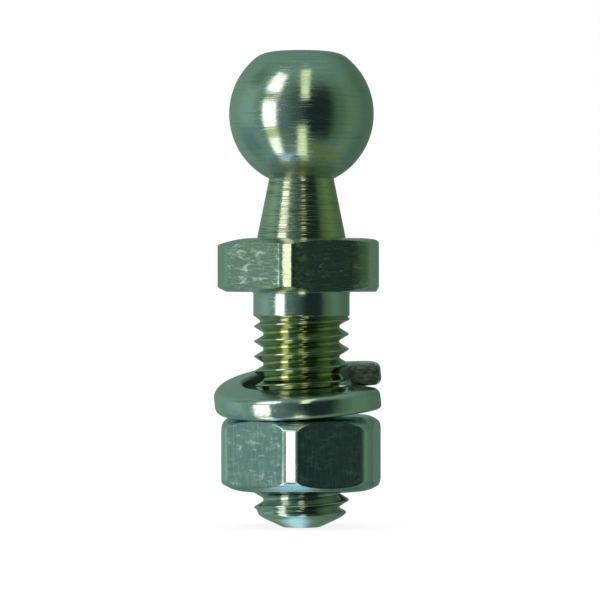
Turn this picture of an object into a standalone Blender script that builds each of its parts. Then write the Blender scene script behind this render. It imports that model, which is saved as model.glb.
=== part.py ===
"""Ball stud with a split spring washer and a hexagon nut. Metres, +Z up.

The stud is one turned piece: a ball with a flat crown, a neck that widens
downwards, a hexagon flange, a short plain shank and an M8 thread. The bracket
that it is bolted to lies under the flange, so the origin is on the axis, in the
plane of the flange's seat. The washer and the nut are run part of the way up.
"""

import math

import bmesh
import bpy
from mathutils import Matrix

MM = 0.001

# Ball and neck, heights from the seat
BALL_DIAMETER = 12.0 * MM
BALL_CENTRE = 14.75 * MM
CROWN_ABOVE_CENTRE = 5.22 * MM
CROWN_DIAMETER = 4.6 * MM
CROWN_EDGE_ABOVE_CENTRE = 4.8 * MM
NECK_TOP_DIAMETER = 5.35 * MM
NECK_FOOT_DIAMETER = 7.35 * MM

# Hexagon flange: cut from bar that runs a little off the turned axis
FLANGE_ACROSS_FLATS = 12.75 * MM
FLANGE_ACROSS_CORNERS = 14.3 * MM
FLANGE_THICKNESS = 4.45 * MM
FLANGE_OFF_AXIS = -0.3 * MM
HEXAGON_CORNER = math.radians(22.7)

# Shank and thread, M8 x 1.25, right-handed
SHANK_DIAMETER = 8.0 * MM
SHANK_LENGTH = 2.0 * MM
STUD_END = -19.5 * MM
END_FLAT_DIAMETER = 3.1 * MM
END_CHAMFER_DIAMETER = 7.0 * MM
END_CHAMFER_LENGTH = 1.25 * MM
END_TAPER_LENGTH = 1.9 * MM
PITCH = 1.25 * MM
CREST_DIAMETER = 7.8 * MM
ROOT_DIAMETER = 6.4 * MM
CREST_WIDTH = PITCH / 8
CREST_AT_X = -3.41 * MM
FLANK_ANGLE = math.radians(30)

# Nut
NUT_ACROSS_FLATS = 12.6 * MM
NUT_ACROSS_CORNERS = 14.0 * MM
NUT_TOP = -10.2 * MM
NUT_HEIGHT = 6.3 * MM
NUT_FACE_DIAMETER = 11.2 * MM
NUT_MOUTH_DIAMETER = 8.7 * MM
NUT_MINOR_DIAMETER = 6.8 * MM
THREAD_CLEARANCE = 0.15 * MM

# Spring washer, coiled left-handed, resting askew on the nut
WASHER_OUTER_DIAMETER = 14.0 * MM
WASHER_INNER_DIAMETER = 9.0 * MM
WASHER_THICKNESS = 1.85 * MM
WASHER_EDGE_RADIUS = 0.45 * MM
WASHER_RISE = 1.87 * MM
WASHER_SPLIT = math.radians(-12)
WASHER_SPLIT_WIDTH = math.radians(5)
WASHER_RIGHT_SIDE_UP = math.radians(6)
WASHER_BACK_UP = math.radians(5)
WASHER_SHIFT = (-0.2 * MM, 0.1 * MM)
WASHER_DROP = 0.02 * MM

CHAMFER_ANGLE = math.radians(30)
BAR_EXCESS = 1.0 * MM
ROUND_STEPS = 32
BALL_STEPS = 14
WELD = 1e-6


def clear_scene():
    for thing in list(bpy.data.objects):
        bpy.data.objects.remove(thing, do_unlink=True)


def steel(name, colour, roughness):
    material = bpy.data.materials.new(name)
    material.use_nodes = True
    shader = material.node_tree.nodes["Principled BSDF"]
    shader.inputs["Base Color"].default_value = (*colour, 1.0)
    shader.inputs["Metallic"].default_value = 1.0
    shader.inputs["Roughness"].default_value = roughness
    return material


def make_object(name, shape, material=None):
    """An object from a bmesh, with its faces out and its curved faces smooth."""
    bmesh.ops.recalc_face_normals(shape, faces=shape.faces)
    mesh = bpy.data.meshes.new(name)
    shape.to_mesh(mesh)
    shape.free()
    mesh.shade_smooth()
    mesh.set_sharp_from_angle(angle=math.radians(25))
    thing = bpy.data.objects.new(name, mesh)
    bpy.context.scene.collection.objects.link(thing)
    if material:
        mesh.materials.append(material)
    else:
        thing.hide_render = True
        thing.display_type = "WIRE"
    return thing


def boolean(thing, operation, other):
    modifier = thing.modifiers.new(f"{operation} {other.name}", "BOOLEAN")
    modifier.operation = operation
    modifier.object = other
    modifier.solver = "EXACT"


def draw_outline(shape, points):
    """A chain of edges through (radius, height) points, in the plane y = 0."""
    chain = [shape.verts.new((radius, 0, height)) for radius, height in points]
    for start, end in zip(chain, chain[1:]):
        shape.edges.new((start, end))


def turned(points):
    """A solid of revolution about Z, from an outline that starts and ends on the axis."""
    shape = bmesh.new()
    draw_outline(shape, points)
    bmesh.ops.spin(shape, geom=shape.verts[:] + shape.edges[:], axis=(0, 0, 1), cent=(0, 0, 0),
                   angle=math.tau, steps=ROUND_STEPS, use_merge=True)
    bmesh.ops.remove_doubles(shape, verts=shape.verts, dist=WELD)
    return shape


def stud_outline():
    """The crown, the ball, the neck, the core inside the flange, and the shank."""
    radius = BALL_DIAMETER / 2
    start = math.acos(CROWN_EDGE_ABOVE_CENTRE / radius)
    end = math.pi - math.asin(NECK_TOP_DIAMETER / 2 / radius)
    crown = BALL_CENTRE + CROWN_ABOVE_CENTRE
    points = [(0, crown), (CROWN_DIAMETER / 2, crown)]
    for step in range(BALL_STEPS + 1):
        angle = start + (end - start) * step / BALL_STEPS
        points.append((radius * math.sin(angle), BALL_CENTRE + radius * math.cos(angle)))
    shank = SHANK_DIAMETER / 2
    points += [(NECK_FOOT_DIAMETER / 2, FLANGE_THICKNESS),
               (shank, FLANGE_THICKNESS / 2), (shank, -SHANK_LENGTH), (0, -SHANK_LENGTH)]
    return points


def chamfer_envelope(name, bottom, top, face_diameter, across_corners, mouth_diameter=0):
    """A drum that takes the corners off a hexagon at both its faces, dished where a bore has a mouth."""
    face, rim, mouth = face_diameter / 2, across_corners / 2, mouth_diameter / 2
    slope = math.tan(CHAMFER_ANGLE)
    drop = (rim - face) * slope
    upper = [(0, top - mouth * slope), (mouth, top), (face, top), (rim, top - drop)]
    lower = [(radius, bottom + top - height) for radius, height in reversed(upper)]
    return make_object(name, turned(upper + lower))


def hexagon_bar(across_flats, bottom, top):
    """A length of hexagon bar, a little longer at both ends than the piece cut from it."""
    shape = bmesh.new()
    made = bmesh.ops.create_circle(shape, cap_ends=True, segments=6,
                                   radius=across_flats / math.sqrt(3))
    turn = Matrix.Rotation(HEXAGON_CORNER - math.pi / 2, 4, "Z")
    bmesh.ops.transform(shape, matrix=Matrix.Translation((0, 0, bottom - BAR_EXCESS)) @ turn,
                        verts=made["verts"])
    grown = bmesh.ops.extrude_face_region(shape, geom=shape.faces[:])
    raised = [item for item in grown["geom"] if isinstance(item, bmesh.types.BMVert)]
    bmesh.ops.translate(shape, verts=raised, vec=(0, 0, top - bottom + 2 * BAR_EXCESS))
    return shape


def threaded_rod(name, crest_diameter, root_diameter, bottom, top):
    """A screw that reaches past bottom and top, closed at each end by a point on the axis.

    The outline of one side's teeth is spun once while it climbs one pitch, so each
    tooth meets the next one up.
    """
    crest, root = crest_diameter / 2, root_diameter / 2
    flank = (crest - root) * math.tan(FLANK_ANGLE)
    first = math.floor((bottom - CREST_AT_X) / PITCH) - 1
    last = math.ceil((top - CREST_AT_X) / PITCH)
    points = []
    for tooth in range(first, last + 1):
        middle = CREST_AT_X + tooth * PITCH
        points += [(root, middle - CREST_WIDTH / 2 - flank), (crest, middle - CREST_WIDTH / 2),
                   (crest, middle + CREST_WIDTH / 2), (root, middle + CREST_WIDTH / 2 + flank)]
    points.append((root, points[0][1] + (last + 1 - first) * PITCH))
    shape = bmesh.new()
    draw_outline(shape, points)
    bmesh.ops.spin(shape, geom=shape.verts[:] + shape.edges[:], axis=(0, 0, 1), cent=(0, 0, 0),
                   dvec=(0, 0, PITCH / ROUND_STEPS), angle=math.tau, steps=ROUND_STEPS)
    bmesh.ops.remove_doubles(shape, verts=shape.verts, dist=WELD)
    middle = (bottom + top) / 2
    rims = [edge for edge in shape.edges if edge.is_boundary]
    for upper in (True, False):
        rim = [edge for edge in rims if (edge.verts[0].co.z > middle) == upper]
        heights = [vert.co.z for edge in rim for vert in edge.verts]
        grown = bmesh.ops.extrude_edge_only(shape, edges=rim)
        tips = [item for item in grown["geom"] if isinstance(item, bmesh.types.BMVert)]
        bmesh.ops.pointmerge(shape, verts=tips, merge_co=(0, 0, sum(heights) / len(heights)))
    return make_object(name, shape)


def rod_envelope():
    """What the thread keeps of its rod: a blunt point at the lower end, and a top inside the shank."""
    top = -SHANK_LENGTH / 2
    wide = (SHANK_DIAMETER + CREST_DIAMETER) / 4
    outline = [(0, top), (wide, top), (wide, STUD_END + END_TAPER_LENGTH),
               (END_CHAMFER_DIAMETER / 2, STUD_END + END_CHAMFER_LENGTH),
               (END_FLAT_DIAMETER / 2, STUD_END), (0, STUD_END)]
    return make_object("thread_envelope", turned(outline))


def ball_stud():
    thread = threaded_rod("thread", CREST_DIAMETER, ROOT_DIAMETER, STUD_END, -SHANK_LENGTH / 2)
    boolean(thread, "INTERSECT", rod_envelope())
    bar = hexagon_bar(FLANGE_ACROSS_FLATS, 0, FLANGE_THICKNESS)
    bmesh.ops.translate(bar, verts=bar.verts, vec=(FLANGE_OFF_AXIS, 0, 0))
    flange = make_object("flange", bar)
    boolean(flange, "INTERSECT", chamfer_envelope(
        "flange_envelope", 0, FLANGE_THICKNESS, FLANGE_ACROSS_FLATS, FLANGE_ACROSS_CORNERS))
    stud = make_object("ball_stud", turned(stud_outline()), steel("stud_steel", (0.42, 0.45, 0.42), 0.28))
    boolean(stud, "UNION", flange)
    boolean(stud, "UNION", thread)
    return stud


def hex_nut():
    bottom = NUT_TOP - NUT_HEIGHT
    nut = make_object("hex_nut", hexagon_bar(NUT_ACROSS_FLATS, bottom, NUT_TOP),
                      steel("nut_steel", (0.46, 0.52, 0.51), 0.25))
    boolean(nut, "INTERSECT", chamfer_envelope(
        "nut_envelope", bottom, NUT_TOP, NUT_FACE_DIAMETER, NUT_ACROSS_CORNERS, NUT_MOUTH_DIAMETER))
    crest = CREST_DIAMETER + 2 * THREAD_CLEARANCE
    boolean(nut, "DIFFERENCE",
            threaded_rod("nut_thread", crest, NUT_MINOR_DIAMETER, bottom, NUT_TOP))
    return nut


def spring_washer():
    """A bar with rounded corners, coiled once so that one end rises over the other.

    It leans on the nut's flat face, and its low side hangs just past the rim of that face.
    """
    inner, outer = WASHER_INNER_DIAMETER / 2, WASHER_OUTER_DIAMETER / 2
    sweep = math.tau - WASHER_SPLIT_WIDTH
    shape = bmesh.new()
    section = [shape.verts.new((x, 0, z)) for x, z in (
        (inner, -WASHER_THICKNESS / 2), (outer, -WASHER_THICKNESS / 2),
        (outer, WASHER_THICKNESS / 2), (inner, WASHER_THICKNESS / 2))]
    shape.faces.new(section)
    bmesh.ops.bevel(shape, geom=shape.verts[:], offset=WASHER_EDGE_RADIUS, segments=2,
                    profile=0.5, affect="VERTICES", material=-1)
    start = Matrix.Translation((0, 0, WASHER_RISE / 2)) @ Matrix.Rotation(
        WASHER_SPLIT + WASHER_SPLIT_WIDTH / 2, 4, "Z")
    bmesh.ops.transform(shape, matrix=start, verts=shape.verts)
    bmesh.ops.spin(shape, geom=shape.faces[:], axis=(0, 0, 1), cent=(0, 0, 0),
                   dvec=(0, 0, -WASHER_RISE / ROUND_STEPS), angle=sweep, steps=ROUND_STEPS)
    lean = Matrix.Rotation(WASHER_BACK_UP, 4, "X") @ Matrix.Rotation(-WASHER_RIGHT_SIDE_UP, 4, "Y")
    bmesh.ops.transform(shape, matrix=lean, verts=shape.verts)
    lowest = min(vert.co.z for vert in shape.verts)
    bmesh.ops.translate(shape, verts=shape.verts,
                        vec=(*WASHER_SHIFT, NUT_TOP - WASHER_DROP - lowest))
    return make_object("spring_washer", shape, steel("washer_steel", (0.5, 0.54, 0.53), 0.3))


clear_scene()
ball_stud()
hex_nut()
spring_washer()
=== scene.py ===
"""Looks for a turned ball stud with a hexagon flange, its split spring washer and its nut.

Metres, +Z up. The stud's axis is the Z axis, the flange's seat is the plane z = 0,
and the side that faces the camera is -Y.
"""

import math
from collections import namedtuple

import bmesh
import bpy
from mathutils import Matrix, Vector


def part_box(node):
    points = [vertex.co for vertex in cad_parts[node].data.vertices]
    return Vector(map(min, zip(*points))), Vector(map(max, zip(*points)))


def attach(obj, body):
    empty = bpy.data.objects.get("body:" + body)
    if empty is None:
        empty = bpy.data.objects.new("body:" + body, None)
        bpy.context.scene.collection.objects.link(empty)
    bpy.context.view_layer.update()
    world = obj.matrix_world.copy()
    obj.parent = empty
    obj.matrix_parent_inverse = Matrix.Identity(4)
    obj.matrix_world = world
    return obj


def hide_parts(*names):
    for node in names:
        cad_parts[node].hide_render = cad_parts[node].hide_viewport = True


MM = 0.001

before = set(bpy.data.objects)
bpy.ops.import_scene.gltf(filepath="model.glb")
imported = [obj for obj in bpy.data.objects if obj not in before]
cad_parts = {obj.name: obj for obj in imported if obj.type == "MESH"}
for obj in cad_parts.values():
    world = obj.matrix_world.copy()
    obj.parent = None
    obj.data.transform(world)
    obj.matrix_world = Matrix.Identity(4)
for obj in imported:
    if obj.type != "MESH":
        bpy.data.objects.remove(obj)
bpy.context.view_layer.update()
STUD_LOW, STUD_HIGH = (Vector(corner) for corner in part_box("ball_stud"))
NUT_LOW, NUT_HIGH = (Vector(corner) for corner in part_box("hex_nut"))

# Ball and neck
BALL_RADIUS = 6.0 * MM
CROWN_ABOVE_CENTRE = 5.24 * MM
CROWN_SOFTNESS = 0.7 * MM
BALL_CENTRE = STUD_HIGH.z - 5.22 * MM
NECK_TOP = 9.3 * MM
NECK_TOP_RADIUS = 2.68 * MM
NECK_FOOT_RADIUS = 3.68 * MM
BALL_ROWS = 64
NECK_ROWS = 10

# Flange. Its hexagon and the nut's are turned by the same angle, and it sits a little off the axis.
HEXAGON_CORNER = math.radians(22.7)
FLANGE_FLATS = 12.75 * MM
FLANGE_CORNER_RADIUS = 7.15 * MM
FLANGE_TOP = 4.45 * MM
FLANGE_OFF_AXIS = Vector((-0.3 * MM, 0))
FLANGE_FACE_RADIUS = 4.6 * MM
FLANGE_TOP_DROP = 0.5 * MM
FLANGE_DOME_SHIFT = 0.4 * MM
FLANGE_SEAT_RADIUS = 6.2 * MM
FLANGE_SEAT_DROP = 0.45 * MM
FLANGE_FACE_ROWS = 14
FLANGE_SIDE_ROWS = 8

# Shank and thread, M8 x 1.25, right-handed. CREST_AT_X is the height of one crest on the +X side.
SHANK_RADIUS = 4.0 * MM
SHANK_JOIN = -1.0 * MM
SHANK_FILLET = 0.15 * MM
PITCH = 1.25 * MM
CREST_RADIUS = 3.93 * MM
ROOT_RADIUS = 3.16 * MM
CREST_WIDTH = 0.1 * MM
CREST_AT_X = -3.41 * MM
CREST_SOFTNESS = 0.03 * MM
ROOT_SOFTNESS = 0.05 * MM
FLANK_ANGLE = math.radians(31.5)
TOOTH_ROWS = [step * MM for step in (0, 0.03, 0.055, 0.085, 0.16, 0.25, 0.34, 0.43, 0.48, 0.53, 0.58)]
RUN_OUT_START = -2.78 * MM
RUN_OUT_SLOPE = 0.5
RUN_OUT_CURVE = 650.0
RUN_OUT_SWELL = 0.1

# The stud's blunt end, and how far above it the last groove starts and ends
END_RADIUS = 1.55 * MM
END_SLOPE = 2.2
END_SOFTNESS = 1.2 * MM
LAST_GROOVE_FULL = 1.7 * MM
LAST_GROOVE_GONE = 0.9 * MM

# Nut. A rounding is where an end face starts to drop, its slope, and how soft the bend is.
NUT_FLATS = 12.6 * MM
NUT_CORNER_RADIUS = 7.0 * MM
NUT_FACE_RADIUS = 5.35 * MM
NUT_TOP_ROUNDING = (5.8 * MM, 0.78, 0.4 * MM)
NUT_BOTTOM_ROUNDING = (5.5 * MM, 0.53, 0.3 * MM)
NUT_WORN_WIDTH = 0.4 * MM
NUT_WORN_DROP = 0.25 * MM
NUT_MOUTH_RADIUS = 4.35 * MM
NUT_CREST_RADIUS = 3.4 * MM
NUT_ROOT_RADIUS = 4.05 * MM
NUT_COUNTERSINK = math.radians(45)
NUT_TOP_ROWS = 22
NUT_SIDE_ROWS = 10
NUT_BOTTOM_ROWS = 18

# Spring washer
WASHER_INNER = 4.5 * MM
WASHER_OUTER = 7.0 * MM
WASHER_THICKNESS = 1.85 * MM
WASHER_OUTER_ROUND = 0.55 * MM
WASHER_INNER_ROUND = 0.35 * MM
WASHER_END_ROUND = 0.1 * MM
WASHER_RISE = 1.78 * MM
WASHER_SPLIT = math.radians(-12)
WASHER_SPLIT_WIDTH = math.radians(5)
WASHER_RIGHT_SIDE_UP = math.radians(6)
WASHER_BACK_UP = math.radians(5)
WASHER_SHIFT = (-0.28 * MM, 0.1 * MM)
WASHER_GAP = 0.26 * MM
WASHER_BOW = 0.35 * MM
WASHER_BOW_AT = math.radians(125)
WASHER_TWIST = 0.23
WASHER_TWIST_RADIUS = 5.75 * MM
WASHER_TWIST_FADE = (math.radians(150), math.radians(230))

# Every piece: columns in a full turn, the softness of crisp and rolled edges, and the weld distance
COLUMNS = 192
EDGE = 0.05 * MM
ROLLED_EDGE = 0.08 * MM
WELD = 0.001 * MM

# Colours of the turned steel
COOL_STEEL, WARM_STEEL = (0.50, 0.58, 0.55), (0.55, 0.60, 0.51)
NECK_STEEL = (0.50, 0.54, 0.37)
FLANGE_STEEL = (0.43, 0.50, 0.44)
THREAD_STEEL = (0.50, 0.53, 0.38)
# Painted shade: a darker olive in the roots of the thread
ROOT_PAINTED_SHADE = (0.38, 0.42, 0.18)
# Painted shade: darkens the recessed turning grooves on the neck and the ball
GROOVE_PAINTED_SHADE = (0.16, 0.18, 0.13)
DARK_GRAIN = (0.28, 0.33, 0.27)
BRIGHT_SCAR = (0.80, 0.88, 0.72)
YELLOW_STAIN = (0.62, 0.62, 0.12)
FLANGE_LAND = (0.36, 0.42, 0.27)
# Painted reflection: an olive tint put on the neck's right side and on the right-hand ends of the flange's
# flats
OLIVE_PAINTED_REFLECTION = (0.56, 0.54, 0.10)

# Colours of the plated nut
BLUE_ZINC, GREEN_ZINC = (0.46, 0.58, 0.61), (0.53, 0.62, 0.60)
PALE_STROKE = (0.72, 0.80, 0.76)
PALE_RUB = (0.76, 0.83, 0.78)
ZINC_GRAIN = (0.25, 0.33, 0.34)
ZINC_STAIN = (0.50, 0.56, 0.15)
# Painted highlight: the corners' lands made brighter than the plate
NUT_LAND_PAINTED_HIGHLIGHT = (0.64, 0.68, 0.64)
# Painted shade: darkens the nut's underside
UNDERSIDE_PAINTED_SHADE = (0.22, 0.27, 0.25)

# Colours of the washer
COOL_SPRING, WARM_SPRING = (0.54, 0.62, 0.61), (0.58, 0.65, 0.59)
SPRING_GRAIN = (0.30, 0.36, 0.34)
# Painted shade: darkens the washer's bore and the inner part of its faces
BORE_PAINTED_SHADE = (0.22, 0.28, 0.22)
TORN_DARK, TORN_PALE = (0.06, 0.075, 0.06), (0.30, 0.31, 0.26)

# How far the front corners' lands and the right-hand ends of the flats lean, as rolled corners do
FLANGE_LAND_LEAN = math.tan(math.radians(16.5))
NUT_LAND_LEAN = math.tan(math.radians(19))
FLAT_END_LEAN = math.tan(math.radians(10))


# ---------------------------------------------------------------- shader tools

class Wire:
    """A shader socket that adds Math nodes as it is used in an expression."""

    def __init__(self, nodes, socket):
        self.nodes = nodes
        self.socket = socket

    def __add__(self, other):
        return self.nodes.math("ADD", self, other)

    def __sub__(self, other):
        return self.nodes.math("SUBTRACT", self, other)

    def __rsub__(self, other):
        return self.nodes.math("SUBTRACT", other, self)

    def __mul__(self, other):
        return self.nodes.math("MULTIPLY", self, other)

    def __truediv__(self, other):
        return self.nodes.math("DIVIDE", self, other)

    __radd__ = __add__
    __rmul__ = __mul__


class Nodes:
    """A node tree that is filled through one method, add."""

    def __init__(self, tree):
        self.tree = tree
        tree.nodes.clear()

    def add(self, kind, settings=None, values=None, output=0):
        """Adds a node, with its settings first and then the values or wires of its sockets."""
        node = self.tree.nodes.new(kind)
        for name, setting in (settings or {}).items():
            if name == "stops":
                self.set_stops(node.color_ramp, setting)
            else:
                setattr(node, name, setting)
        for name, value in (values or {}).items():
            if isinstance(value, Wire):
                self.tree.links.new(value.socket, node.inputs[name])
            else:
                node.inputs[name].default_value = value
        return Wire(self, node.outputs[output]) if node.outputs else node

    @staticmethod
    def set_stops(ramp, stops):
        """Sets an eased ramp's stops, each a position and a colour."""
        ramp.interpolation = "EASE"
        while len(ramp.elements) < len(stops):
            ramp.elements.new(1.0)
        for element, (position, colour) in zip(ramp.elements, stops):
            element.position = position
            element.color = (*colour, 1)

    def math(self, operation, *terms):
        return self.add("ShaderNodeMath", {"operation": operation}, dict(enumerate(terms)))

    def vector(self, operation, *terms):
        return self.add("ShaderNodeVectorMath", {"operation": operation}, dict(enumerate(terms)))

    def scaled(self, vector, scale):
        return self.add("ShaderNodeVectorMath", {"operation": "SCALE"}, {0: vector, "Scale": scale})

    def step(self, value, low, high):
        """0 below low and 1 above high, with a smooth rise between; falls where low is above high."""
        return self.add("ShaderNodeMapRange", {"interpolation_type": "SMOOTHSTEP"},
                        {"Value": value, "From Min": low, "From Max": high})

    def band(self, value, low, high, soft):
        """1 between low and high, with soft edges."""
        return self.step(value, low - soft, low + soft) * self.step(value, high + soft, high - soft)

    def blend(self, factor, first, second):
        """The first colour where factor is 0, and the second where it is 1."""
        first, second = (colour if isinstance(colour, Wire) else (*colour, 1)
                         for colour in (first, second))
        return self.add("ShaderNodeMix", {"data_type": "RGBA"}, {0: factor, 6: first, 7: second}, 2)

    def mapped(self, vector, scale, turn=(0, 0, 0)):
        return self.add("ShaderNodeMapping", None, {"Vector": vector, "Scale": scale, "Rotation": turn})

    def noise(self, vector, scale, detail=2.0, distortion=0.0):
        return self.add("ShaderNodeTexNoise", None,
                        {"Vector": vector, "Scale": scale, "Detail": detail, "Distortion": distortion})

    def split(self, vector):
        """The x, y and z of a vector."""
        parts = self.add("ShaderNodeSeparateXYZ", None, {0: vector})
        return [Wire(self, socket) for socket in parts.socket.node.outputs]


Place = namedtuple("Place", "point across reach height")


def millimetres(nodes):
    """The place on the object in mm: the point, its x, its distance from the axis and its height."""
    point = nodes.scaled(nodes.add("ShaderNodeTexCoord", output="Object"), 1 / MM)
    x, y, height = nodes.split(point)
    return Place(point, x, nodes.math("SQRT", x * x + y * y), height)


def leaning_normal(nodes, point, lean):
    """The surface's own normal, leaning clockwise round the axis by the tangent lean."""
    clockwise = nodes.vector("NORMALIZE", nodes.vector("CROSS_PRODUCT", point, (0, 0, 1)))
    clockwise = nodes.add("ShaderNodeVectorTransform",
                          {"vector_type": "VECTOR", "convert_from": "OBJECT", "convert_to": "WORLD"},
                          {"Vector": clockwise})
    tilt = nodes.scaled(clockwise, lean)
    own = nodes.add("ShaderNodeNewGeometry", output="Normal")
    return nodes.vector("NORMALIZE", nodes.vector("ADD", own, tilt))


def metal(name, paint):
    """A metal whose colour, roughness, relief in millimetres and normal come from paint(nodes).

    The normal is None where the surface keeps its own.
    """
    material = bpy.data.materials.new(name)
    material.use_nodes = True
    nodes = Nodes(material.node_tree)
    colour, roughness, relief, normal = paint(nodes)
    bump = {"Height": relief, "Distance": MM}
    if normal:
        bump["Normal"] = normal
    normal = nodes.add("ShaderNodeBump", None, bump)
    shader = nodes.add("ShaderNodeBsdfPrincipled", None, {
        "Base Color": colour, "Roughness": roughness, "Metallic": 1.0, "Normal": normal})
    nodes.add("ShaderNodeOutputMaterial", None, {"Surface": shader})
    return material


# ---------------------------------------------------------------- finishes

def corner_lands(nodes, place, corner_radius):
    """1 on the turned lands between a hexagon's flats, and the same with a wavering edge."""
    waver = nodes.noise(nodes.mapped(place.point, (1.5, 1.5, 2.2)), 1.0, 3.0)
    radius = corner_radius / MM
    return (nodes.step(place.reach, radius - 0.075, radius - 0.015),
            nodes.step(place.reach + waver * 0.06, radius - 0.07, radius - 0.01))


def turned_steel(nodes):
    """Bright turned steel: rings round the axis, and a knocked, rolled skin on the flange's flats, with
    painted shade in the turning grooves and the thread's roots, and a painted olive reflection on the
    neck's right side and the flats' right-hand ends.
    """
    place = millimetres(nodes)
    point, across, reach, height = place
    rings = nodes.noise(nodes.mapped(point, (0.12, 0.12, 3.2)), 1.0, 3.0)
    fine_rings = nodes.noise(nodes.mapped(point, (0.2, 0.2, 8.0)), 1.0, 2.0)
    streaks = nodes.noise(nodes.mapped(point, (0.8, 0.8, 9.0)), 1.0, 3.0)
    patches = nodes.noise(point, 0.35, 3.0, 0.4)
    marks = nodes.noise(nodes.mapped(point, (1.0, 1.0, 2.2)), 1.0, 3.0, 0.6)
    grain = nodes.noise(point, 9.0, 2.0)
    stains = nodes.noise(nodes.mapped(point, (0.9, 0.9, 1.3), (0.5, 0.3, 0.9)), 1.0, 2.0, 0.5)

    flange_top_mm, neck_top_mm = FLANGE_TOP / MM, NECK_TOP / MM
    on_flange = nodes.band(height, 0.1, flange_top_mm - 0.1, 0.1) * nodes.step(reach, 4.6, 5.2)
    on_neck = nodes.band(height, flange_top_mm, neck_top_mm, 0.2) * (1 - on_flange)
    on_ball = nodes.step(height, neck_top_mm - 0.1, neck_top_mm + 0.3)
    under_ball = nodes.band(height, neck_top_mm + 0.1, neck_top_mm + 1.4, 0.4)
    on_thread = nodes.step(height, -1.7, -2.1)
    above_end = 1 - nodes.step(height, -14.0, -17.0)
    middle = nodes.band(across, -4.0, 4.0, 0.5)
    right_side = nodes.step(across, -0.6, 0.8)
    # Where the painted olive reflection goes on the neck
    right_of_neck = on_neck * nodes.step(across, 0.6, 2.2)
    flat_ends = nodes.step(across, 4.0, 5.9) * on_flange

    lands, wavering_lands = corner_lands(nodes, place, FLANGE_CORNER_RADIUS)
    lands = lands * on_flange
    scars = nodes.step(marks, 0.55, 0.70) * on_flange * (1 - lands)
    grooves = nodes.step(fine_rings, 0.56, 0.64)
    roots = nodes.step(reach, 3.55, 3.25) * on_thread
    stained = nodes.step(stains, 0.62, 0.70) * (0.6 * on_flange + 0.6 * on_thread + 0.3 * on_neck)

    relief = rings * (0.011 * on_ball + 0.034 * on_neck + 0.003)
    relief = relief - grooves * (0.005 * on_neck + 0.002 * on_ball)
    relief = relief * (1 - on_thread) * (1 - on_flange) + marks * on_flange * (0.045 - right_side * 0.03)
    up_the_neck = nodes.math("MINIMUM", nodes.math("MAXIMUM", height, flange_top_mm), neck_top_mm)
    relief = relief + up_the_neck * 0.05

    colour = nodes.blend(nodes.step(patches, 0.35, 0.65), COOL_STEEL, WARM_STEEL)
    for share, tone in ((on_neck * 0.8, NECK_STEEL),
                        (on_flange * 0.7, FLANGE_STEEL),
                        (on_thread * above_end, THREAD_STEEL),
                        # painted shade in the thread's roots
                        (roots * above_end * 0.8, ROOT_PAINTED_SHADE),
                        # painted shade in the turning grooves
                        (grooves * (on_neck * 0.6 + on_ball * 0.2), GROOVE_PAINTED_SHADE),
                        (nodes.step(grain, 0.45, 0.75) * 0.3, DARK_GRAIN),
                        (scars * 0.6, BRIGHT_SCAR),
                        (stained * (1 - lands), YELLOW_STAIN),
                        (wavering_lands * on_flange * middle, FLANGE_LAND),
                        # painted reflection: olive on the neck's right side and the flats' right-hand ends
                        (right_of_neck * 0.4 + flat_ends * 0.3, OLIVE_PAINTED_REFLECTION)):
        colour = nodes.blend(share, colour, tone)

    roughness = 0.13 + nodes.step(streaks, 0.45, 0.75) * 0.16 + on_flange * 0.04 + scars * 0.14
    roughness = roughness - on_thread * 0.02 + under_ball * 0.2
    lean = lands * middle * FLANGE_LAND_LEAN - flat_ends * FLAT_END_LEAN
    return colour, roughness, relief, leaning_normal(nodes, point, lean)


def plated_steel(nodes):
    """Bright zinc plate over a scuffed skin, with a painted highlight on the corners' lands and painted
    shade underneath.
    """
    place = millimetres(nodes)
    point = place.point
    strokes = nodes.noise(nodes.mapped(point, (6.0, 6.0, 0.8), (0.05, 0.1, 0.0)), 1.0, 3.0, 0.3)
    rubs = nodes.noise(nodes.mapped(point, (1.0, 1.0, 2.6), (0.5, 0.45, 0.3)), 1.0, 5.0, 0.8)
    clouds = nodes.noise(point, 0.4, 3.0, 0.5)
    grain = nodes.noise(point, 8.0, 2.0)
    stains = nodes.noise(point, 0.8, 2.0, 0.6)

    lands, wavering_lands = corner_lands(nodes, place, NUT_CORNER_RADIUS)
    underside = nodes.step(place.height, NUT_LOW.z / MM + 0.8, NUT_LOW.z / MM + 0.3)
    middle = nodes.band(place.across, -4.0, 4.0, 0.5)
    flat_ends = nodes.step(place.across, 4.7, 6.0)

    colour = nodes.blend(nodes.step(clouds, 0.35, 0.65), BLUE_ZINC, GREEN_ZINC)
    for share, tone in ((nodes.step(strokes, 0.35, 0.75) * 0.35, PALE_STROKE),
                        (nodes.step(rubs, 0.48, 0.80) * 0.25, PALE_RUB),
                        (nodes.step(grain, 0.45, 0.75) * 0.3, ZINC_GRAIN),
                        (nodes.step(stains, 0.70, 0.76) * 0.5, ZINC_STAIN),
                        # painted highlight on the corners' lands
                        (wavering_lands, NUT_LAND_PAINTED_HIGHLIGHT),
                        # painted shade on the underside
                        (underside * 0.8, UNDERSIDE_PAINTED_SHADE)):
        colour = nodes.blend(share, colour, tone)

    roughness = 0.12 + nodes.step(rubs, 0.45, 0.75) * 0.16 + nodes.step(strokes, 0.4, 0.7) * 0.06
    relief = (strokes * 0.004 + rubs * 0.005) * (1 - lands * 0.7)
    lean = lands * middle * NUT_LAND_LEAN - flat_ends * FLAT_END_LEAN
    return colour, roughness, relief, leaning_normal(nodes, point, lean)


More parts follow.
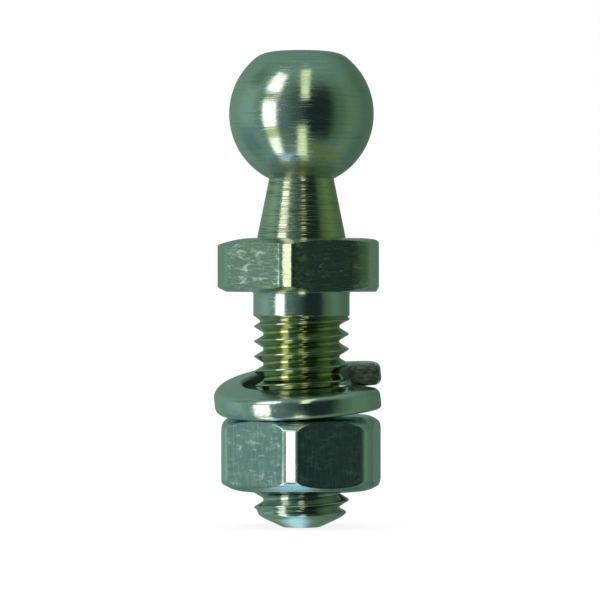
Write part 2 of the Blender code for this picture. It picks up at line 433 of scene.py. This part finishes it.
def spring_steel(nodes):
    """Rolled and plated spring steel, smooth with shallow waves, rougher inside its ring and darkened
    there by painted shade.
    """
    place = millimetres(nodes)
    waves = nodes.noise(place.point, 0.9, 2.0, 0.3)
    grain = nodes.noise(place.point, 8.0, 2.0)
    rubs = nodes.noise(nodes.mapped(place.point, (0.5, 0.5, 2.0)), 1.0, 3.0, 0.3)
    inside = nodes.step(place.reach, WASHER_INNER / MM + 0.9, WASHER_INNER / MM + 0.2)
    colour = nodes.blend(nodes.step(waves, 0.35, 0.65), COOL_SPRING, WARM_SPRING)
    colour = nodes.blend(nodes.step(grain, 0.45, 0.75) * 0.2, colour, SPRING_GRAIN)
    # painted shade inside the ring
    colour = nodes.blend(inside * 0.7, colour, BORE_PAINTED_SHADE)
    roughness = nodes.step(rubs, 0.35, 0.75) * 0.12 + 0.12 + inside * 0.2
    return colour, roughness, waves * 0.03 + rubs * 0.006, None


def cut_steel(nodes):
    """A sheared end: dark, torn and dull."""
    place = millimetres(nodes)
    tears = nodes.noise(nodes.mapped(place.point, (1.2, 1.2, 3.0)), 1.0, 5.0, 0.8)
    colour = nodes.blend(nodes.step(tears, 0.3, 0.7), TORN_DARK, TORN_PALE)
    roughness = nodes.step(tears, 0.2, 0.8) * 0.25 + 0.35
    return colour, roughness, tears * 0.09, None


# ---------------------------------------------------------------- shaping tools

def soft_least(first, second, width):
    """The smaller of two lengths, with the corner between them eased over width."""
    overlap = max(width - abs(first - second), 0) / width
    return min(first, second) - overlap * overlap * width / 4


def soft_most(first, second, width):
    """The larger of two lengths, with the corner between them eased over width."""
    return -soft_least(-first, -second, width)


def smooth_step(value, low, high):
    """0 below low and 1 above high, with a smooth rise between."""
    share = min(max((value - low) / (high - low), 0), 1)
    return share * share * (3 - 2 * share)


def between(start, end, count):
    """Points from start to end, without the start."""
    return [tuple(a + (b - a) * step / count for a, b in zip(start, end))
            for step in range(1, count + 1)]


def end_face(start, end, rows, height_at):
    """(radius, height) points across an end face, without the start."""
    return [(reach, height_at(reach)) for reach, _ in between((start, 0), (end, 0), rows)]


def spin_outline(shape, points, climb=0.0):
    """Spins a chain of (radius, height) points once round the axis, and returns the new verts.

    One sixth is spun and then copied round, which is quicker. With a climb the chain rises
    as it turns, so that each tooth of a thread meets the next.
    """
    before = set(shape.verts)
    turn = Matrix.Rotation(HEXAGON_CORNER, 4, "Z")
    chain = [shape.verts.new(turn @ Vector((radius, 0, height))) for radius, height in points]
    edges = [shape.edges.new(pair) for pair in zip(chain, chain[1:])]
    round_axis = {"axis": (0, 0, 1), "cent": (0, 0, 0), "use_merge": False}
    bmesh.ops.spin(shape, geom=chain + edges, angle=math.tau / 6, steps=COLUMNS // 6,
                   dvec=(0, 0, climb / COLUMNS), **round_axis)
    sixth = [vert for vert in shape.verts if vert not in before]
    sixth += [edge for edge in shape.edges if edge.verts[0] not in before]
    sixth += [face for face in shape.faces if face.verts[0] not in before]
    bmesh.ops.spin(shape, geom=sixth, angle=math.tau * 5 / 6, steps=5, use_duplicate=True,
                   dvec=(0, 0, climb / 6), **round_axis)
    bmesh.ops.remove_doubles(shape, verts=[v for v in shape.verts if v not in before], dist=WELD)
    return [vert for vert in shape.verts if vert not in before]


def trim(shape, height, keep_below):
    """Cuts everything off at a height, and returns the edges of the new rim."""
    normal = (0, 0, 1 if keep_below else -1)
    cut = bmesh.ops.bisect_plane(shape, geom=shape.verts[:] + shape.edges[:] + shape.faces[:],
                                 dist=WELD / 10, plane_co=(0, 0, height), plane_no=normal,
                                 clear_outer=True)
    return [item for item in cut["geom_cut"] if isinstance(item, bmesh.types.BMEdge)]


def open_rims(shape):
    return [edge for edge in shape.edges if edge.is_boundary]


def finished(name, shape, *materials):
    """The object of a bmesh, closed, with its faces out and shaded smooth."""
    bmesh.ops.recalc_face_normals(shape, faces=shape.faces)
    mesh = bpy.data.meshes.new(name)
    shape.to_mesh(mesh)
    shape.free()
    mesh.shade_smooth()
    mesh.set_sharp_from_angle(angle=math.radians(50))
    for material in materials:
        mesh.materials.append(material)
    thing = bpy.data.objects.new(name, mesh)
    bpy.context.scene.collection.objects.link(thing)
    return thing


def hexagon_reach(angle, across_flats, corner_radius, off_axis=Vector((0, 0))):
    """How far a hexagon with turned corners reaches from the axis at an angle."""
    reach = corner_radius
    for side in range(6):
        facing = HEXAGON_CORNER + math.radians(30 + 60 * side)
        turn = math.cos(angle - facing)
        if turn > 0.5:
            flat = across_flats / 2 + off_axis.dot((math.cos(facing), math.sin(facing)))
            softness = ROLLED_EDGE if math.sin(angle - facing) > 0 else EDGE
            reach = soft_least(reach, flat / turn, softness)
    return reach


def make_hexagonal(verts, inner, outer, top_at, bottom_at, reach_at):
    """Draws a turned drum in to a hexagon, and keeps its end faces on their own slopes.

    Columns gather near the corners, where the shape turns fastest.
    """
    for vert in verts:
        reach = vert.co.xy.length
        if reach <= inner:
            continue
        angle = math.atan2(vert.co.y, vert.co.x)
        sixth = math.radians(60)
        share = ((angle - HEXAGON_CORNER) / sixth) % 1
        pull = 0.8 * smooth_step(reach, inner, (inner + outer) / 2)
        angle -= pull * math.sin(math.tau * share) / math.tau * sixth
        drawn = inner + (reach - inner) * (reach_at(angle) - inner) / (outer - inner)
        share_up = (vert.co.z - bottom_at(reach)) / (top_at(reach) - bottom_at(reach))
        height = bottom_at(drawn) + share_up * (top_at(drawn) - bottom_at(drawn))
        vert.co = (drawn * math.cos(angle), drawn * math.sin(angle), height)


def tooth_outline(crest, root, bottom, top):
    """(radius, height) points of a row of teeth that passes both bottom and top.

    The crest is the nearer end of each tooth's middle, whichever way the tooth points.
    """
    depth = abs(crest - root)
    inward = 1 if crest > root else -1
    first = math.floor((bottom - CREST_AT_X) / PITCH) - 1
    last = math.ceil((top - CREST_AT_X) / PITCH)
    offsets = [-offset for offset in reversed(TOOTH_ROWS[1:])] + TOOTH_ROWS + [PITCH / 2]
    points = []
    for tooth in range(first, last + 1):
        middle = CREST_AT_X + tooth * PITCH
        for offset in offsets:
            fall = (abs(offset) - CREST_WIDTH / 2) / math.tan(FLANK_ANGLE)
            fall = soft_least(soft_most(fall, 0, CREST_SOFTNESS), depth, ROOT_SOFTNESS)
            points.append((crest - inward * fall, middle + offset))
    points.insert(0, (points[len(offsets) - 1][0], points[0][1] - (offsets[1] - offsets[0])))
    return points


# ---------------------------------------------------------------- pieces

def flange_top(reach):
    """The height of the flange's top, which drops in a curve towards its corners."""
    share = max(reach - FLANGE_FACE_RADIUS, 0) / (FLANGE_CORNER_RADIUS - FLANGE_FACE_RADIUS)
    return FLANGE_TOP - FLANGE_TOP_DROP * share ** 1.8


def shift_dome(verts):
    """Moves the middle of the flange's domed top to the right, so that its left corners drop further."""
    for vert in verts:
        reach = vert.co.xy.length
        moved = reach - FLANGE_DOME_SHIFT * vert.co.x / reach
        vert.co.z += (flange_top(moved) - flange_top(reach)) * vert.co.z / FLANGE_TOP


def flange_seat(reach):
    """The height of the flange's underside: a flat ring, then a chamfer."""
    share = max(reach - FLANGE_SEAT_RADIUS, 0) / (FLANGE_CORNER_RADIUS - FLANGE_SEAT_RADIUS)
    return FLANGE_SEAT_DROP * share


def crowned_ball():
    """The outline of the ball, from the middle of its crown to the top of the neck."""
    end = math.pi - math.asin(NECK_TOP_RADIUS / BALL_RADIUS)
    points = []
    for row in range(BALL_ROWS + 1):
        angle = end * row / BALL_ROWS
        crown = CROWN_ABOVE_CENTRE / max(math.cos(angle), 0.5)
        reach = soft_least(BALL_RADIUS, crown, CROWN_SOFTNESS)
        points.append((reach * math.sin(angle), BALL_CENTRE + reach * math.cos(angle)))
    return points


def drum_side(radius, top, bottom, rows):
    """Points down a drum's side from rim to rim, with one more close to each rim."""
    start, end = (radius, top - EDGE), (radius, bottom + EDGE)
    return [(radius, top), start] + between(start, end, rows) + [(radius, bottom)]


def thread_radius(reach, height):
    """The stud's thread runs out below the shank, and its last teeth follow the blunt end."""
    taken_up = smooth_step(height, RUN_OUT_START, RUN_OUT_START + PITCH / 2)
    reach += (reach - ROOT_RADIUS) * taken_up * RUN_OUT_SWELL
    above = max(height - RUN_OUT_START, 0)
    run_out = ROOT_RADIUS + above * RUN_OUT_SLOPE + above * above * RUN_OUT_CURVE
    reach = min(soft_most(reach, run_out, ROOT_SOFTNESS), SHANK_RADIUS)
    filled = 1 - smooth_step(height - STUD_LOW.z, LAST_GROOVE_GONE, LAST_GROOVE_FULL)
    reach += (CREST_RADIUS - reach) * filled
    blunt_end = END_RADIUS + (height - STUD_LOW.z) * END_SLOPE
    return max(soft_least(reach, blunt_end, END_SOFTNESS), END_RADIUS / 2)


def set_reach(verts, radius_at):
    """Moves each vert to the distance from the axis that radius_at(reach, height) gives."""
    for vert in verts:
        reach = vert.co.xy.length
        vert.co.xy *= radius_at(reach, vert.co.z) / reach


def ball_stud():
    """Two spun outlines, the thread below and everything above it, bridged inside the shank."""
    shape = bmesh.new()
    verts = spin_outline(shape, tooth_outline(CREST_RADIUS, ROOT_RADIUS, STUD_LOW.z, SHANK_JOIN),
                         PITCH)
    set_reach(verts, thread_radius)
    end = trim(shape, STUD_LOW.z, keep_below=False)
    bmesh.ops.holes_fill(shape, edges=end)
    trim(shape, SHANK_JOIN, keep_below=True)

    points = crowned_ball()
    points += between(points[-1], (NECK_FOOT_RADIUS, FLANGE_TOP), NECK_ROWS)
    rim = FLANGE_CORNER_RADIUS
    points.append((NECK_FOOT_RADIUS + EDGE, FLANGE_TOP))
    points += end_face(NECK_FOOT_RADIUS, rim - EDGE, FLANGE_FACE_ROWS, flange_top)
    points += drum_side(rim, flange_top(rim), flange_seat(rim), FLANGE_SIDE_ROWS)
    points += end_face(rim, SHANK_RADIUS + SHANK_FILLET, FLANGE_FACE_ROWS, flange_seat)
    bend = SHANK_FILLET * 4 / 15
    points += [(SHANK_RADIUS + bend, -bend), (SHANK_RADIUS, -SHANK_FILLET)]
    points.append((SHANK_RADIUS, SHANK_JOIN + 2 * EDGE))
    upper = spin_outline(shape, points)
    flange = [vert for vert in upper
              if -WELD < vert.co.z < FLANGE_TOP + WELD and vert.co.xy.length > FLANGE_FACE_RADIUS]
    make_hexagonal(flange, FLANGE_FACE_RADIUS, FLANGE_CORNER_RADIUS, flange_top, flange_seat,
                   lambda angle: hexagon_reach(angle, FLANGE_FLATS, FLANGE_CORNER_RADIUS,
                                               FLANGE_OFF_AXIS))
    shift_dome(flange)
    bmesh.ops.bridge_loops(shape, edges=open_rims(shape))
    return finished("turned_ball_stud", shape, metal("turned_steel", turned_steel))


def rounded_off(reach, rounding):
    """How far an end face has dropped at a reach: a soft chamfer, then a worn corner."""
    start, slope, softness = rounding
    worn = max(reach - NUT_CORNER_RADIUS + NUT_WORN_WIDTH, 0) / NUT_WORN_WIDTH
    return soft_most((reach - start) * slope, 0, softness) + NUT_WORN_DROP * worn * worn


def nut_top(reach):
    return NUT_HIGH.z - rounded_off(reach, NUT_TOP_ROUNDING)


def nut_bottom(reach):
    return NUT_LOW.z + rounded_off(reach, NUT_BOTTOM_ROUNDING)


def nut_thread_radius(reach, height):
    """The nut's thread opens into a countersink at each face."""
    depth = min(NUT_HIGH.z - height, height - NUT_LOW.z)
    return soft_most(reach, NUT_MOUTH_RADIUS - depth * math.tan(NUT_COUNTERSINK), 2 * EDGE)


def hex_nut():
    """A threaded bore and a hexagonal outside, bridged at both faces."""
    shape = bmesh.new()
    verts = spin_outline(shape, tooth_outline(NUT_CREST_RADIUS, NUT_ROOT_RADIUS,
                                              NUT_LOW.z, NUT_HIGH.z), PITCH)
    set_reach(verts, nut_thread_radius)
    trim(shape, NUT_LOW.z + EDGE, keep_below=False)
    trim(shape, NUT_HIGH.z - EDGE, keep_below=True)
    rim, mouth = NUT_CORNER_RADIUS, NUT_MOUTH_RADIUS
    points = [(mouth, NUT_HIGH.z)]
    points += end_face(mouth, rim - EDGE, NUT_TOP_ROWS, nut_top)
    points += drum_side(rim, nut_top(rim), nut_bottom(rim), NUT_SIDE_ROWS)
    points += end_face(rim, mouth, NUT_BOTTOM_ROWS, nut_bottom)
    outside = spin_outline(shape, points)
    make_hexagonal(outside, NUT_FACE_RADIUS, rim, nut_top, nut_bottom,
                   lambda angle: hexagon_reach(angle, NUT_FLATS, NUT_CORNER_RADIUS))
    middle = (NUT_LOW.z + NUT_HIGH.z) / 2
    for upper in (True, False):
        rims = [edge for edge in open_rims(shape) if (edge.verts[0].co.z > middle) == upper]
        bmesh.ops.bridge_loops(shape, edges=rims)
    return finished("plated_hex_nut", shape, metal("plated_steel", plated_steel))


def washer_bend(place):
    """How far the washer bows up, behind on the left, and dishes its outer edge down, in front."""
    angle = math.atan2(place.y, place.x)
    bow = max(math.cos(angle - WASHER_BOW_AT), 0) ** 2
    from_end = (WASHER_SPLIT - angle) % math.tau
    dish = 1 - smooth_step(from_end, *WASHER_TWIST_FADE)
    return WASHER_BOW * bow + WASHER_TWIST * dish * (WASHER_TWIST_RADIUS - place.xy.length)


def spring_washer():
    """A bar with rounded corners, coiled once so that one end rises over the other."""
    shape = bmesh.new()
    half = WASHER_THICKNESS / 2
    section = [shape.verts.new((x, 0, z)) for x, z in (
        (WASHER_INNER, -half), (WASHER_OUTER, -half), (WASHER_OUTER, half), (WASHER_INNER, half))]
    shape.faces.new(section)
    bmesh.ops.bevel(shape, geom=section[1:3], offset=WASHER_OUTER_ROUND, segments=8, profile=0.5,
                    affect="VERTICES", material=-1)
    inner = [vert for vert in shape.verts if vert.co.x < WASHER_INNER + WELD]
    bmesh.ops.bevel(shape, geom=inner, offset=WASHER_INNER_ROUND, segments=6, profile=0.5,
                    affect="VERTICES", material=-1)
    start = Matrix.Translation((0, 0, WASHER_RISE / 2)) @ Matrix.Rotation(
        WASHER_SPLIT + WASHER_SPLIT_WIDTH / 2, 4, "Z")
    bmesh.ops.transform(shape, matrix=start, verts=shape.verts)
    bmesh.ops.spin(shape, geom=shape.faces[:], axis=(0, 0, 1), cent=(0, 0, 0),
                   dvec=(0, 0, -WASHER_RISE / COLUMNS), angle=math.tau - WASHER_SPLIT_WIDTH,
                   steps=COLUMNS)
    for vert in shape.verts:
        vert.co.z += washer_bend(vert.co)
    lean = Matrix.Rotation(WASHER_BACK_UP, 4, "X") @ Matrix.Rotation(-WASHER_RIGHT_SIDE_UP, 4, "Y")
    bmesh.ops.transform(shape, matrix=lean, verts=shape.verts)
    lowest = min(vert.co.z for vert in shape.verts if vert.co.xy.length < WASHER_TWIST_RADIUS)
    bmesh.ops.translate(shape, verts=shape.verts,
                        vec=(*WASHER_SHIFT, NUT_HIGH.z + WASHER_GAP - lowest))
    ends = [face for face in shape.faces if len(face.verts) > 4]
    rims = list({edge for face in ends for edge in face.edges})
    for face in ends:
        face.material_index = 1
    bmesh.ops.bevel(shape, geom=rims, offset=WASHER_END_ROUND, segments=3, profile=0.5,
                    affect="EDGES", material=0)
    return finished("plated_spring_washer", shape, metal("spring_steel", spring_steel),
                    metal("cut_steel", cut_steel))


# ---------------------------------------------------------------- studio

def studio_walls(nodes, azimuth, elevation):
    """The dim grey-green surroundings, which darken just to the right of the camera.

    The azimuth is 0 in front and grows to the right, so the ramp's middle is the camera's side.
    """
    ring = nodes.add("ShaderNodeValToRGB", {"stops": [
        (0.00, (0.18, 0.29, 0.23)), (0.14, (0.24, 0.40, 0.33)), (0.24, (0.32, 0.52, 0.44)),
        (0.30, (0.20, 0.34, 0.28)), (0.42, (0.14, 0.23, 0.22)), (0.48, (0.07, 0.12, 0.11)),
        (0.54, (0.018, 0.033, 0.033)), (0.62, (0.019, 0.036, 0.033)), (0.68, (0.11, 0.20, 0.12)),
        (0.74, (0.16, 0.28, 0.18)), (0.86, (0.11, 0.20, 0.14)), (0.95, (0.12, 0.20, 0.14)),
        (1.00, (0.18, 0.29, 0.23))]},
        {"Fac": azimuth / 360 + 0.5})
    above = nodes.step(elevation, 25, 70)
    below = nodes.step(elevation, -25, -70)
    walls = nodes.blend(above, ring, (0.21, 0.36, 0.30))
    return nodes.blend(below, walls, (0.19, 0.32, 0.28))


def glow(colour, strength):
    """A light panel's colour at its strength."""
    return tuple(strength * part for part in colour)


def studio_light():
    """Dim walls with dull patches, two panels below and behind, and two broken strip lights.

    The camera itself sees plain white behind the object.
    """
    world = bpy.data.worlds.new("studio")
    bpy.context.scene.world = world
    world.use_nodes = True
    nodes = Nodes(world.node_tree)
    direction = nodes.add("ShaderNodeTexCoord", output="Generated")
    x, y, z = nodes.split(direction)
    azimuth = nodes.math("ARCTAN2", x, 0 - y) * math.degrees(1)
    elevation = nodes.math("ARCSINE", z) * math.degrees(1)
    light = studio_walls(nodes, azimuth, elevation)

    # Dull patches, in degrees of azimuth and of elevation
    for sideways, upright, soft, colour in (
            ((20, 130), (-76, -48), 10, (0.17, 0.22, 0.05)),
            ((-118, -84), (30, 54), 9, (0.13, 0.23, 0.13)),
            ((-130, -86), (-45, -14), 10, (0.13, 0.25, 0.25))):
        share = nodes.band(azimuth, *sideways, soft) * nodes.band(elevation, *upright, soft)
        light = nodes.blend(share * 0.8, light, colour)

    # A blue panel below and a pale one low behind, in parts of the direction
    below = nodes.band(x, -0.42, 0.10, 0.08) * nodes.band(y, -0.45, 0.25, 0.10)
    below = below * nodes.step(z - y * 0.25, -0.80, -0.90)
    light = nodes.blend(below, light, glow((0.38, 0.63, 1.0), 1.5))
    behind = nodes.band(x, -0.16, 0.05, 0.08) * nodes.band(y, 0.35, 0.80, 0.12) * nodes.step(z, -0.4, -0.6)
    light = nodes.blend(behind, light, glow((0.55, 0.90, 1.0), 1.3))

    # The strip on the left, whose foot swings away as it goes down
    swung = azimuth + nodes.math("MAXIMUM", -38 - elevation, 0) * 0.5
    for upright, sideways, soft, colour in (
            ((-61, -34), (-65, -42), 5, glow((1.0, 1.0, 0.88), 2.0)),
            ((-34, -17), (-64, -42), 3, glow((0.88, 1.0, 0.42), 0.9)),
            ((-17, 17), (-64, -42), 3, glow((1.0, 1.0, 1.0), 2.8)),
            ((17, 30), (-63, -37), 3, glow((1.0, 1.0, 0.62), 0.5)),
            ((31, 60), (-67, -38), 6, glow((0.95, 1.0, 0.94), 2.3))):
        share = nodes.band(swung, *sideways, soft) * nodes.band(elevation, *upright, 1.5)
        light = nodes.blend(share, light, colour)

    # The narrow strip straight ahead, above and below the camera
    ahead = nodes.step(y, 0, -0.15)
    for upright, sideways in (((22, 72), (0.0, 0.20)), ((-75, -20), (-0.09, 0.13))):
        share = nodes.band(x, *sideways, 0.03) * nodes.band(elevation, *upright, 3) * ahead
        light = nodes.blend(share, light, glow((0.88, 1.0, 0.60), 1.35))

    seen = nodes.add("ShaderNodeLightPath", output="Is Camera Ray")
    light = nodes.blend(seen, light, (1, 1, 1))
    background = nodes.add("ShaderNodeBackground", None, {"Color": light, "Strength": 1.0})
    nodes.add("ShaderNodeOutputWorld", None, {"Surface": background})


def sun_light():
    """One very soft light from above, which only the floor takes: the metal shows the panels."""
    lamp = bpy.data.lights.new("overhead", "SUN")
    lamp.energy = 3.4
    lamp.angle = math.radians(100)
    thing = bpy.data.objects.new("overhead", lamp)
    thing.visible_glossy = False
    bpy.context.scene.collection.objects.link(thing)


def pale_floor():
    """White paper that glows enough to meet the white behind it, and takes a faint shadow."""
    shape = bmesh.new()
    bmesh.ops.create_grid(shape, x_segments=1, y_segments=1, size=6.0)
    bmesh.ops.translate(shape, verts=shape.verts, vec=(0, 0, STUD_LOW.z))
    mesh = bpy.data.meshes.new("floor")
    shape.to_mesh(mesh)
    shape.free()
    material = bpy.data.materials.new("floor_paper")
    material.use_nodes = True
    nodes = Nodes(material.node_tree)
    paper = nodes.add("ShaderNodeBsdfDiffuse", None, {"Color": (0.92, 0.92, 0.92, 1)})
    glowing = nodes.add("ShaderNodeEmission", None, {"Color": (1, 1, 1, 1), "Strength": 1.0})
    mixed = nodes.add("ShaderNodeMixShader", None, {0: 0.88, 1: paper, 2: glowing})
    nodes.add("ShaderNodeOutputMaterial", None, {"Surface": mixed})
    mesh.materials.append(material)
    floor = bpy.data.objects.new("floor", mesh)
    floor.visible_glossy = False
    bpy.context.scene.collection.objects.link(floor)


def camera():
    """Level with the flange and far off, so that the stud is seen nearly square on."""
    lens = bpy.data.cameras.new("camera")
    lens.angle = math.radians(7.80)
    thing = bpy.data.objects.new("camera", lens)
    target = Vector((-0.12, 0, -0.68)) * MM
    thing.location = Vector((-0.12, -365, 1.39)) * MM
    thing.rotation_euler = (target - thing.location).to_track_quat("-Z", "Y").to_euler()
    bpy.context.scene.collection.objects.link(thing)
    bpy.context.scene.camera = thing


camera()
pale_floor()
sun_light()
studio_light()
bpy.context.scene.view_settings.view_transform = "Standard"

# Each piece stands for the CAD node of its name and moves with its body
for make, node, body, slot in ((ball_stud, "ball_stud", "stud", "stud_steel"),
                               (spring_washer, "spring_washer", "washer", "washer_steel"),
                               (hex_nut, "hex_nut", "nut", "nut_steel")):
    piece = make()
    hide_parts(node)
    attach(piece, body)
